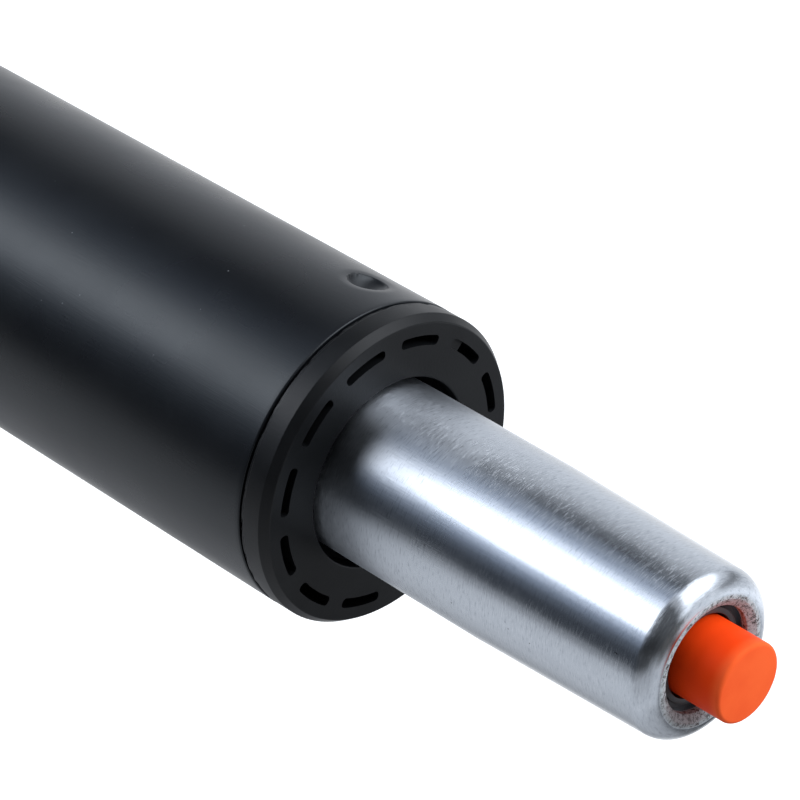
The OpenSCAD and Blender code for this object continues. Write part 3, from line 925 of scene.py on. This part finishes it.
@dataclass
class GuideBush:
    """The moulded guide bush with its flange, slots and sleeve.

    Attributes:
        face: Height of the flange face.
        seat: Height of the flange's underside.
        flange: Radius of the flange.
        seam: Height of the open seam under the flange.
        seam_depth: Depth of that seam.
        chamfer_w: Radial width of its chamfer.
        chamfer_h: Height of its chamfer.
        mouth: Radius of the wide mouth.
        bore: Radius of the bore.
        sleeve: Radius of the sleeve.
        sleeve_end: Height of the sleeve's lower end.
        groove: Radius of the groove that the tube's dents press into.
        groove_foot: Height of the groove's lower side.
        groove_top: Height of its upper side.
        slot_in: Inner radius of the slots.
        slot_out: Outer radius of the slots.
        slots: Number of slots.
        slot_half: Half the arc of a slot, in degrees.
        rib_slot: Number of the slot that holds a rib.
        rib_drop: Depth of the rib below the face.
        slot_depth: Depth of the slots.
        slot_round: Rounding of the slots' corners.
        core_in: Inner radius of the core pockets.
        core_out: Outer radius of the core pockets.
        core_top: Height of the core pockets' roofs.
    """

    face: float = 230.5
    seat: float = 225.0
    flange: float = 24.95
    seam: float = 0.75
    seam_depth: float = 0.9
    chamfer_w: float = 0.95
    chamfer_h: float = 1.4
    mouth: float = 15.3
    bore: float = 14.05
    sleeve: float = 22.95
    sleeve_end: float = 128.0
    groove: float = 21.5
    groove_foot: float = 213.4
    groove_top: float = 220.4
    slot_in: float = 20.4
    slot_out: float = 22.0
    slots: int = 12
    slot_half: float = 10.5
    rib_slot: int = 6
    rib_drop: float = 0.9
    slot_depth: float = 8.9
    slot_round: float = 0.66
    core_in: float = 16.55
    core_out: float = 20.45
    core_top: float = 209.3

    def body(self) -> Object:
        """Turns the bush, then sinks its slots and core pockets.

        Returns:
            The bush.
        """
        bush = Turning("guide_bush_body", [
            Corner(self.bore, self.sleeve_end, 0.4, 3),
            Corner(self.core_in, self.sleeve_end),
            Corner(self.core_out, self.sleeve_end),
            Corner(self.sleeve, self.sleeve_end, 0.6, 4),
            Corner(self.sleeve, self.groove_foot),
            Corner(self.groove, self.groove_foot),
            Corner(self.groove, self.groove_top),
            Corner(self.sleeve, self.groove_top),
            Corner(self.sleeve, self.seat),
            Corner(self.flange - self.seam_depth, self.seat),
            Corner(self.flange - self.seam_depth, self.seat + self.seam),
            Corner(self.flange, self.seat + self.seam, 0.25, 4),
            Corner(self.flange, self.face - self.chamfer_h, 0.35, 4),
            Corner(self.flange - self.chamfer_w, self.face, 0.3, 4),
            Corner(self.slot_out, self.face),
            Corner(self.slot_in, self.face),
            Corner(self.mouth, self.face, 0.25, 4),
            Corner(self.mouth, self.face - 3.0),
            Corner(self.bore, self.face - 4.5),
        ], steps=120, turn=1.5).spin()
        bpy.ops.object.mode_set(mode="EDIT")
        self.sink_slots(bush)
        pick(bush, Element.FACE, lambda _, c: abs(c.z - self.sleeve_end) < SAME
             and self.in_pocket(c, self.core_in, self.core_out))
        extrude(self.core_top - self.sleeve_end)
        bpy.ops.object.mode_set(mode="OBJECT")
        return bush

    def in_pocket(self, place: Vector, inner: float, outer: float) -> bool:
        """Says whether a place lies in a ring and within the arc of a slot.

        Args:
            place: The place.
            inner: Inner radius of the ring.
            outer: Outer radius of the ring.

        Returns:
            Whether it does.
        """
        return inner < place.xy.length < outer and abs(off_pitch(place, self.slots)) < self.slot_half

    def sink_slots(self, bush: Object) -> None:
        """Extrudes the slots down from the face and rounds their ends.

        Args:
            bush: The bush in edit mode.
        """
        def in_slot(place: Vector, height: float) -> bool:
            """Says whether a place lies in a slot, at that height."""
            return abs(place.z - height) < SAME and self.in_pocket(place, self.slot_in, self.slot_out)

        def under_rib(place: Vector) -> bool:
            """Says whether a place lies in the half slot that the rib fills."""
            number = round(bearing_of(place) / (360.0 / self.slots)) % self.slots
            return number == self.rib_slot and off_pitch(place, self.slots) > 0

        def end_edge(edge: MeshElement, middle: Vector) -> bool:
            """Says whether an edge is an upright corner of a slot."""
            rise = edge.verts[0].co - edge.verts[1].co
            at_end = abs(abs(off_pitch(middle, self.slots)) - self.slot_half) < 0.05
            at_side = min(abs(middle.xy.length - self.slot_in), abs(middle.xy.length - self.slot_out)) < 0.03
            upright = rise.xy.length < MERGE_GAP < abs(rise.z)
            return upright and at_end and at_side and middle.z > self.groove_top

        rib_top = self.face - self.rib_drop
        pick(bush, Element.FACE, lambda _, c: in_slot(c, self.face))
        extrude(-self.rib_drop)
        pick(bush, Element.FACE, lambda _, c: in_slot(c, rib_top) and not under_rib(c))
        extrude(self.rib_drop - self.slot_depth)
        pick(bush, Element.EDGE, end_edge)
        bpy.ops.mesh.bevel(offset=self.slot_round * MM, segments=4, affect="EDGES")

    def flash(self) -> Object:
        """Turns the thin moulding flash at the foot of the flange and makes it ragged.

        Returns:
            The flash.
        """
        root = self.seat + self.seam
        lip = Turning("parting_flash", [
            Corner(self.flange - 0.30, root + 0.10),
            Corner(self.flange - 0.22, root - 0.25, 0.03, 2),
            Corner(self.flange - 0.10, root - 0.25, 0.04, 2),
            Corner(self.flange - 0.04, root + 0.10),
        ], steps=120).spin()
        bpy.ops.object.mode_set(mode="EDIT")
        pick(lip, Element.VERT, lambda _, c: c.z < root)
        bpy.ops.transform.vertex_random(offset=0.10 * MM, uniform=0.5, normal=0.4, seed=3)
        bpy.ops.object.mode_set(mode="OBJECT")
        return lip

    def build(self, rack: Rack) -> None:
        """Builds and mounts the bush's pieces.

        Args:
            rack: The materials.
        """
        settle(self.body(), Body.COLUMN, Slot.BLACK_PLASTIC, rack, "guide_bush")
        settle(self.flash(), Body.COLUMN, Slot.BLACK_PLASTIC, rack)


@dataclass
class GasCylinder:
    """The plated pressure tube with its tapered, closed tip and the bush inside the tip.

    Attributes:
        radius: Outside radius.
        wall: Wall of the tube.
        foot: Height of its lower end.
        foot_lip: Width of the lip that is rolled in there.
        seat: Height where the taper starts.
        bend: Half the length of the bend there.
        tip: Height of the tip's crest.
        shoulder: Radius of its rounded shoulder.
        shoulder_drop: Distance of the edge row under the shoulder below the tip.
        crest: Radius of the crest round the mouth.
        bevel: Depth of the bevel from the crest to the mouth.
        mouth: Radius of the mouth in the tip.
        lip: Height of the closed end's underside.
        play: Gap between the tube and the bush.
        button_bore: Radius of the bush's bore.
        collar_wall: Wall of the bush's collar.
        collar_drop: Distance of the collar below the tip.
        bush_foot: Height of the bush's lower end.
        bore_floor: Height of the bore's floor.
        pin_hole: Radius of the pin's hole.
    """

    radius: float = 14.0
    wall: float = 1.5
    foot: float = 37.66
    foot_lip: float = 5.0
    seat: float = 258.5
    bend: float = 1.0
    tip: float = 293.85
    shoulder: float = 3.3
    shoulder_drop: float = 6.0
    crest: float = 9.6
    bevel: float = 0.7
    mouth: float = 8.3
    lip: float = 291.0
    play: float = 0.05
    button_bore: float = 6.55
    collar_wall: float = 0.9
    collar_drop: float = 1.85
    bush_foot: float = 257.5
    bore_floor: float = 277.9
    pin_hole: float = 2.3

    def outside(self, height: float) -> float:
        """Gives the outside radius at a height, in millimetres."""
        return self.radius - max(0.0, height - self.seat) * TAPER

    def tube(self) -> Object:
        """Turns the pressure tube with its rolled foot and rounded tip.

        Returns:
            The tube.
        """
        bore = self.radius - self.wall
        lip = self.radius - self.foot_lip
        bend_top = self.seat + self.bend
        row = self.tip - self.shoulder_drop
        return Turning("pressure_tube_shell", [
            Corner(lip, self.foot, 0.3, 3),
            Corner(self.radius, self.foot, 1.5, 8),
            Corner(self.radius, self.seat - self.bend),
            Corner(self.outside(bend_top), bend_top),
            Corner(self.outside(row), row),
            Corner(self.outside(self.tip), self.tip, self.shoulder, 20),
            Corner(self.crest, self.tip, 0.5, 5),
            Corner(self.mouth, self.tip - self.bevel, 0.2, 3),
            Corner(self.mouth, self.lip),
            Corner(self.outside(self.lip) - self.wall, self.lip),
            Corner(bore, self.seat),
            Corner(bore, self.foot + self.wall),
            Corner(lip, self.foot + self.wall),
        ], steps=240).spin()

    def bush(self) -> Object:
        """Turns the bush that guides the button in the tip.

        Returns:
            The bush.
        """
        inside = self.radius - self.wall - self.play
        outer = self.button_bore + self.collar_wall
        return Turning("tip_bush", [
            Corner(self.pin_hole, self.bush_foot),
            Corner(inside, self.bush_foot, 0.3, 3),
            Corner(inside, self.seat),
            Corner(self.outside(self.lip) - self.wall - self.play, self.lip),
            Corner(outer, self.lip),
            Corner(outer, self.tip - self.collar_drop, 0.14, 4),
            Corner(self.button_bore, self.tip - self.collar_drop, 0.14, 4),
            Corner(self.button_bore, self.bore_floor),
            Corner(self.pin_hole, self.bore_floor),
        ], steps=144).spin()

    def build(self, rack: Rack) -> None:
        """Builds and mounts the cylinder's pieces.

        Args:
            rack: The materials.
        """
        settle(self.tube(), Body.GAS_CYLINDER, Slot.PLATED_STEEL, rack, "pressure_tube")
        settle(self.bush(), Body.GAS_CYLINDER, Slot.DARK_PLASTIC, rack, "top_bush")


@dataclass
class ReleaseButton:
    """The moulded button that the seat lever presses.

    Attributes:
        radius: Its radius.
        foot: Height of its lower end.
        top: Height of its face.
        edge: Rounding of its face's edge.
        crown: Rise of its face.
        pin_hole: Radius of the pin's hole.
        pin_depth: Depth of the pin's hole.
    """

    radius: float = 6.2
    foot: float = 283.2
    top: float = 300.9
    edge: float = 0.6
    crown: float = 0.10
    pin_hole: float = 2.05
    pin_depth: float = 12.0

    def build(self, rack: Rack) -> None:
        """Turns and mounts the button.

        Args:
            rack: The materials.
        """
        roof = self.foot + self.pin_depth
        cap = Turning("button_cap", [
            Corner(0.0, roof),
            Corner(self.pin_hole, roof),
            Corner(self.pin_hole, self.foot),
            Corner(self.radius, self.foot, 0.3, 3),
            Corner(self.radius, self.top - self.crown, self.edge, 8),
            Corner(self.radius * 0.66, self.top - self.crown * 0.48),
            Corner(self.radius * 0.33, self.top - self.crown * 0.12),
            Corner(0.0, self.top),
        ], steps=144, closed=False).spin()
        settle(cap, Body.BUTTON, Slot.ORANGE_PLASTIC, rack, "release_button")


class InnerWorks:
    """The CAD nodes that keep their shape: bearing, rod, piston, valve and seals."""

    def dress(self, rack: Rack) -> None:
        """Gives each shown CAD node the finish of its record slot.

        Args:
            rack: The materials.
        """
        slots = {part["node"]: Slot(part["material_slot"]) for part in frame["record"]["subparts"]}
        for name, node in frame["nodes"].items():
            if not node.hide_render:
                rack.dress(node, slots[name])
                LOG.info("%s: CAD node dressed as %s", name, slots[name].value)


@dataclass(frozen=True)
class Card:
    """A reflecting card, flag or soft box round the lift.

    Attributes:
        name: What stands there.
        turn: Its turn from the front towards +X, in degrees.
        level: Its brightness; 1 is white.
        cool: How blue its light is, from 0 to 1.
    """

    name: str
    turn: float
    level: float
    cool: float = 0.25

    def light(self, peak: float) -> tuple[float, float, float, float]:
        """Gives the card's light as a share of the brightest card's.

        Args:
            peak: Level of the brightest card.

        Returns:
            The colour with its alpha.
        """
        level = self.level / peak
        return (level * (1.0 - RED_LOSS * self.cool), level, level * (1.0 + BLUE_GAIN * self.cool), 1.0)


@dataclass
class Studio:
    """The floor, the surround, the lamps and the camera.

    Attributes:
        low_cards: What stands round the lift below its middle, in order of turn.
        strip_turn: Turn of the front strip's middle, in degrees.
        strip_reach: How far from there its cards stand, in degrees.
        strip_foot: Share of its width at the foot.
        strip_head: Share of its width at the head.
        high_cards: What stands round the lift above its middle, in order of turn.
        top_cards: What hangs over the lift, in order of turn.
        ceiling: Brightness straight overhead.
        head_rise: Rise over which the strip's foot gives way to its head; 1 is straight up.
        high_rise: Rise over which the low cards give way to the high ones.
        front_rise: The same in front, where it lies lower.
        front_arc: Turn to either side over which that front begins, in degrees.
        top_rise: Rise over which the high cards give way to the top ones.
        ceiling_rise: Rise over which those give way to the ceiling.
        white_rise: Rise over which mirrors see the white backdrop instead.
        white_arc: Turn to either side over which they do, in degrees.
        tint: Colour of the lamps.
        aim: Where the lamps look, in metres.
        floor_half: Half the side of the floor, in metres.
        floor_shade: Colour of the floor's darker grain.
        floor_colour: Colour of the rest.
        floor_glow: Light that the floor itself gives the camera.
        eye: The camera's place from the flange face, in millimetres.
        right: The image's right in the same frame.
        down: The image's downward direction.
        turn: Turn of that frame from the CAD frame, in degrees.
        face: Height of the flange face.
        lens: Focal length, in millimetres.
        sensor: Width of the sensor, in millimetres.
    """

    low_cards: tuple[Card, ...] = (
        Card("white sweep behind", -180.0, 1.0, 0.0),
        Card("rim strip, left", -166.0, 1.35, 0.1),
        Card("white sweep, left", -150.0, 0.95, 0.1),
        Card("left wall, far", -122.0, 0.86),
        Card("left wall, near", -98.0, 0.66),
        Card("left flag, rear edge", -84.0, 0.42),
        Card("left flag, rear half", -70.0, 0.12, 0.4),
        Card("left flag", -60.0, 0.08, 0.6),
        Card("left flag, front half", -50.0, 0.21, 0.9),
        Card("left flag, front edge", -41.0, 0.42, 0.9),
        Card("front strip, left edge", -33.0, 0.95, 0.7),
        Card("front strip, left half", -25.0, 2.1, 0.4),
        Card("front strip", -12.0, 3.4, 0.3),
        Card("front strip, middle", 0.0, 4.0, 0.3),
        Card("front strip, right half", 8.0, 3.2, 0.4),
        Card("front strip, right edge", 15.0, 1.3, 0.6),
        Card("right flag, front edge", 24.0, 0.46, 0.9),
        Card("right flag, front half", 34.0, 0.16, 0.9),
        Card("right flag", 44.0, 0.06, 0.9),
        Card("right flag, rear edge", 54.0, 0.06, 0.7),
        Card("right wall, near", 63.0, 0.30, 0.3),
        Card("right wall", 75.0, 0.64),
        Card("right wall, middle", 95.0, 0.70),
        Card("right wall, far", 120.0, 0.62),
        Card("right corner", 150.0, 0.42),
        Card("rim strip, right", 168.0, 0.9, 0.1),
        Card("white sweep, behind right", 180.0, 1.0, 0.0),
    )
    strip_turn: float = -3.0
    strip_reach: float = 31.0
    strip_foot: float = 0.80
    strip_head: float = 1.05
    high_cards: tuple[Card, ...] = (
        Card("dark gap behind", -180.0, 0.06),
        Card("backdrop, left edge", -171.0, 0.70),
        Card("backdrop, left", -161.0, 1.35),
        Card("rear soft box", -142.0, 0.80),
        Card("left gap", -124.0, 0.28),
        Card("left soft box, rear", -106.0, 0.85),
        Card("left soft box, rear half", -90.0, 2.2),
        Card("left soft box", -70.0, 3.8),
        Card("left soft box, front half", -53.0, 2.4),
        Card("left soft box, front", -38.0, 0.55),
        Card("dark front, left", -26.0, 0.13),
        Card("dark front", 22.0, 0.035),
        Card("right gap", 46.0, 0.07),
        Card("right card", 72.0, 0.52),
        Card("right card, middle", 104.0, 0.68),
        Card("right card, far", 136.0, 0.52),
        Card("backdrop, right", 160.0, 0.40),
        Card("backdrop, right edge", 171.0, 0.14),
        Card("dark gap, behind right", 180.0, 0.06),
    )
    top_cards: tuple[Card, ...] = (
        Card("dark gap over the back", -180.0, 0.06),
        Card("roof card, back left edge", -174.0, 0.32),
        Card("roof card, back left", -166.0, 0.98),
        Card("roof card, left", -140.0, 0.90),
        Card("roof card, far left", -100.0, 0.80),
        Card("soft box top", -65.0, 1.6),
        Card("dark over the front, left", -30.0, 0.12),
        Card("dark over the front", 30.0, 0.06),
        Card("roof card, far right", 80.0, 0.50),
        Card("roof card, right", 130.0, 0.68),
        Card("roof card, back right", 165.0, 0.72),
        Card("roof card, back right edge", 173.0, 0.30),
        Card("dark gap over the back, right", 180.0, 0.06),
    )
    ceiling: float = 0.12
    head_rise: Span = (-0.66, -0.48)
    high_rise: Span = (-0.28, 0.06)
    front_rise: Span = (-0.50, -0.28)
    front_arc: Span = (55.0, 35.0)
    top_rise: Span = (0.64, 0.74)
    ceiling_rise: Span = (0.92, 0.98)
    white_rise: Span = (0.10, -0.20)
    white_arc: Span = (168.0, 176.0)
    tint: Colour = (0.955, 1.0, 1.05)
    aim: Place = (0.0, 0.0, 0.25)
    floor_half: float = 6.0
    floor_shade: Colour = (0.88, 0.88, 0.88)
    floor_colour: Colour = (0.90, 0.90, 0.90)
    floor_glow: float = 0.36
    eye: Place = (0.0, -464.18, 339.98)
    right: Place = (-0.50811, 0.50685, 0.69637)
    down: Place = (0.86112, 0.31519, 0.39891)
    turn: float = 2.06
    face: float = 230.5
    lens: float = 176.24
    sensor: float = 36.0

    def lay_floor(self) -> None:
        """Lays the pale floor, which is open from below and seen by the camera alone."""
        bpy.ops.object.select_all(action="DESELECT")
        bpy.ops.mesh.primitive_plane_add(size=2.0 * self.floor_half)
        floor = bpy.context.object
        floor.name = "studio_floor"
        floor.visible_diffuse = False
        floor.visible_glossy = False
        floor.visible_transmission = False
        floor.visible_shadow = False
        made, bench = new_material("pale_floor")
        grain = bench.band(bench.noise(bench.point(), 30.0), 0.3, 0.7)
        pale = bench.mix(grain, self.floor_shade, self.floor_colour)
        paper = bench.node("ShaderNodeBsdfDiffuse", {"Color": pale})
        glow = bench.node("ShaderNodeEmission", {"Color": (1.0, 1.0, 1.0, 1.0), "Strength": self.floor_glow})
        lit = bench.node("ShaderNodeAddShader", {0: paper.outputs[0], 1: glow.outputs[0]})
        clear = bench.node("ShaderNodeBsdfTransparent")
        below = bench.node("ShaderNodeNewGeometry").outputs["Backfacing"]
        both = bench.node("ShaderNodeMixShader", {0: below, 1: lit.outputs[0], 2: clear.outputs[0]})
        bench.node("ShaderNodeOutputMaterial", {"Surface": both.outputs[0]})
        floor.data.materials.append(made)

    def low_ring(self, share: float) -> tuple[Card, ...]:
        """Gives the low cards with the front strip made wider or narrower.

        Args:
            share: Share of the strip's width.

        Returns:
            The cards in order of turn.
        """
        return tuple(
            replace(card, turn=self.strip_turn + (card.turn - self.strip_turn) * share)
            if abs(card.turn - self.strip_turn) < self.strip_reach else card
            for card in self.low_cards
        )

    def ring_of_cards(self, bench: Bench, turn: Socket, cards: Sequence[Card]) -> Socket:
        """Joins cards into one brightness round the horizon.

        Args:
            bench: The world's bench.
            turn: Turn from the front, from 0 at -180 degrees to 1 at 180.
            cards: The cards in order of turn.

        Returns:
            The brightness, as a colour.
        """
        peak = max(card.level for card in cards)
        ring = bench.node("ShaderNodeValToRGB", {"Fac": turn})
        stops = ring.color_ramp.elements
        ring.color_ramp.interpolation = "EASE"
        while len(stops) < len(cards):
            stops.new(0.5)
        for stop, card in zip(stops, cards):
            stop.position = (card.turn + 180.0) / 360.0
        for stop, card in zip(stops, cards):
            stop.color = card.light(peak)
            LOG.debug("%s: at %.0f degrees, level %.2f", card.name, card.turn, card.level)
        sockets = {0: ring.outputs[0], 1: (peak, peak, peak)}
        return bench.node("ShaderNodeVectorMath", sockets, operation="MULTIPLY").outputs[0]

    def hang_surround(self) -> None:
        """Makes the world: cards, flags and soft boxes all round, and white behind, also in the metal."""
        world = bpy.data.worlds.new("studio_surround")
        bpy.context.scene.world = world
        world.use_nodes = True
        bench = Bench(world.node_tree)
        way = bench.node("ShaderNodeTexCoord").outputs["Generated"]
        axes = bench.node("ShaderNodeSeparateXYZ", {0: way})
        ahead = bench.times(axes.outputs[1], -1.0)
        angle = bench.combine("ARCTAN2", axes.outputs[0], ahead)
        turn = bench.combine("MULTIPLY_ADD", angle, 1.0 / math.tau)
        turn.node.inputs[2].default_value = 0.5
        foot = self.ring_of_cards(bench, turn, self.low_ring(self.strip_foot))
        head = self.ring_of_cards(bench, turn, self.low_ring(self.strip_head))
        high = self.ring_of_cards(bench, turn, self.high_cards)
        top = self.ring_of_cards(bench, turn, self.top_cards)
        up = axes.outputs[2]
        ceiling = (self.ceiling, self.ceiling, self.ceiling)
        turned = bench.combine("ABSOLUTE", angle, 0.0)
        in_front = bench.band(turned, *map(math.radians, self.front_arc))
        in_front = bench.times(in_front, bench.band(up, *self.front_rise))
        above = bench.combine("MAXIMUM", bench.band(up, *self.high_rise), in_front)
        level = bench.mix(bench.band(up, *self.head_rise), foot, head)
        level = bench.mix(above, level, high)
        level = bench.mix(bench.band(up, *self.top_rise), level, top)
        level = bench.mix(bench.band(up, *self.ceiling_rise), level, ceiling)
        lit = bench.node("ShaderNodeBackground", {"Color": level, "Strength": 1.0})
        white = bench.node("ShaderNodeBackground", {"Color": (1.0, 1.0, 1.0, 1.0), "Strength": 1.0})
        path = bench.node("ShaderNodeLightPath").outputs
        mirrored = bench.combine("MAXIMUM", path["Is Glossy Ray"], path["Is Transmission Ray"])
        behind = bench.band(turned, *map(math.radians, self.white_arc))
        behind = bench.times(behind, bench.band(up, *self.white_rise))
        seen = bench.combine("MAXIMUM", path["Is Camera Ray"], bench.times(mirrored, behind))
        both = bench.node("ShaderNodeMixShader", {0: seen, 1: lit.outputs[0], 2: white.outputs[0]})
        bench.node("ShaderNodeOutputWorld", {"Surface": both.outputs[0]})

    def lamp(self, name: str, place: Place, size: float, watts: float) -> None:
        """Hangs a soft square lamp that looks at the tip and shows in no reflection.

        Args:
            name: Its name.
            place: Where it hangs, in metres.
            size: Its side, in metres.
            watts: Its power.
        """
        aim = Vector(self.aim) - Vector(place)
        turned = aim.to_track_quat("-Z", "Y").to_euler()
        bpy.ops.object.light_add(type="AREA", location=place, rotation=turned)
        made = bpy.context.object
        made.name = name
        made.data.size = size
        made.data.energy = watts
        made.data.color = self.tint
        made.visible_camera = False
        made.visible_glossy = False

    def hang_lamps(self) -> None:
        """Hangs the key soft box on the left, the overhead fill and a weak fill in front."""
        self.lamp("key_soft_box", (-1.25, -0.25, 1.15), size=0.8, watts=20.0)
        self.lamp("overhead_fill", (0.0, 0.0, 1.9), size=1.6, watts=3.0)
        self.lamp("front_fill", (0.7, -1.3, 0.0), size=1.0, watts=3.0)

    def set_camera(self) -> None:
        """Sets the camera at the photograph's viewing angle."""
        turn = Matrix.Rotation(math.radians(self.turn), 3, "Z")
        right = (turn @ Vector(self.right)).normalized()
        up = -(turn @ Vector(self.down))
        back = right.cross(up).normalized()
        up = back.cross(right)
        place = turn @ Vector(self.eye) + Vector((0.0, 0.0, self.face))
        bpy.ops.object.camera_add()
        camera = bpy.context.object
        camera.name = "photo_camera"
        camera.matrix_world = Matrix((right, up, back)).transposed().to_4x4()
        camera.location = place * MM
        camera.data.lens = self.lens
        camera.data.sensor_width = self.sensor
        camera.data.clip_start = 0.01
        camera.data.clip_end = 50.0
        bpy.context.scene.camera = camera

    def build(self) -> None:
        """Sets up the whole studio."""
        bpy.context.scene.view_settings.view_transform = "Standard"
        self.lay_floor()
        self.hang_surround()
        self.hang_lamps()
        self.set_camera()
        LOG.info("studio set")


def main() -> None:
    """Builds the lift piece by piece, then the studio."""
    logging.basicConfig(level=logging.INFO, format="%(name)s: %(message)s")
    rack = Rack()
    Column().build(rack)
    GuideBush().build(rack)
    GasCylinder().build(rack)
    ReleaseButton().build(rack)
    InnerWorks().dress(rack)
    Studio().build()


if __name__ == "__main__":
    main()
